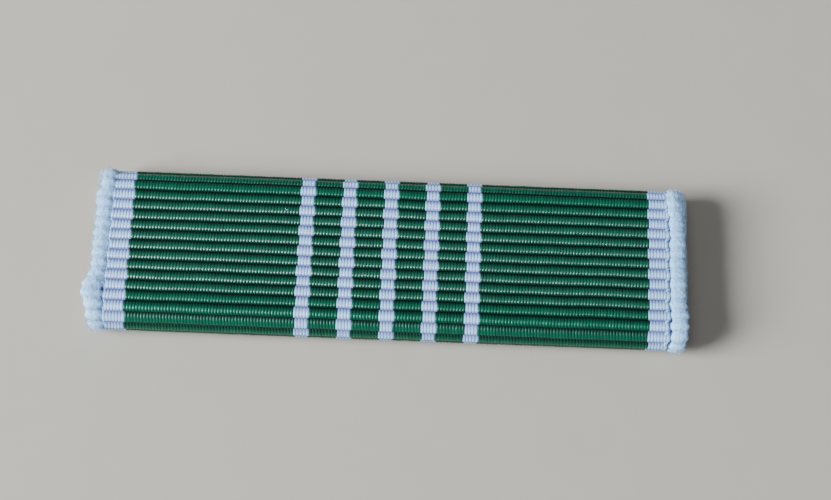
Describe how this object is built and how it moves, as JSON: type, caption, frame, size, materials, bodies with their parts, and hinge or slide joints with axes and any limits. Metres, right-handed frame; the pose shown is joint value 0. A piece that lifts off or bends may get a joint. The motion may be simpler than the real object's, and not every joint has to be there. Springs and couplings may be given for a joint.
{
  "type": "service ribbon bar",
  "caption": "Slide-on service ribbon bar: striped green and white grosgrain ribbon wrapped round a folded brass channel that slides along a mounting rail.",
  "frame": {"origin": "centre of the bar's underside, on the surface that its back rests on", "axes": "+X along the bar, +Y across it towards its upper edge when worn, +Z out of the ribbon's front face"},
  "size_m": [0.035, 0.01, 0.0027],
  "materials": {
    "brass_sheet": "stamped sheet, dull bright",
    "glue": "clear amber film",
    "weft_yarn": "thick spun cord",
    "white_yarn": "satin filament yarn",
    "green_yarn": "satin filament yarn",
    "selvedge_yarn": "soft filament yarn, slightly fuzzy"
  },
  "bodies": {
    "root": {"carrier": "brass_sheet", "adhesive_film": "glue", "weft_cord": "weft_yarn", "left_selvedge": "selvedge_yarn", "left_white_band": "white_yarn", "left_green_field": "green_yarn", "white_stripe_1": "white_yarn", "green_gap_1": "green_yarn", "white_stripe_2": "white_yarn", "green_gap_2": "green_yarn", "white_stripe_3": "white_yarn", "green_gap_3": "green_yarn", "white_stripe_4": "white_yarn", "green_gap_4": "green_yarn", "white_stripe_5": "white_yarn", "right_green_field": "green_yarn", "right_white_band": "white_yarn", "right_selvedge": "selvedge_yarn"}
  },
  "joints": []
}
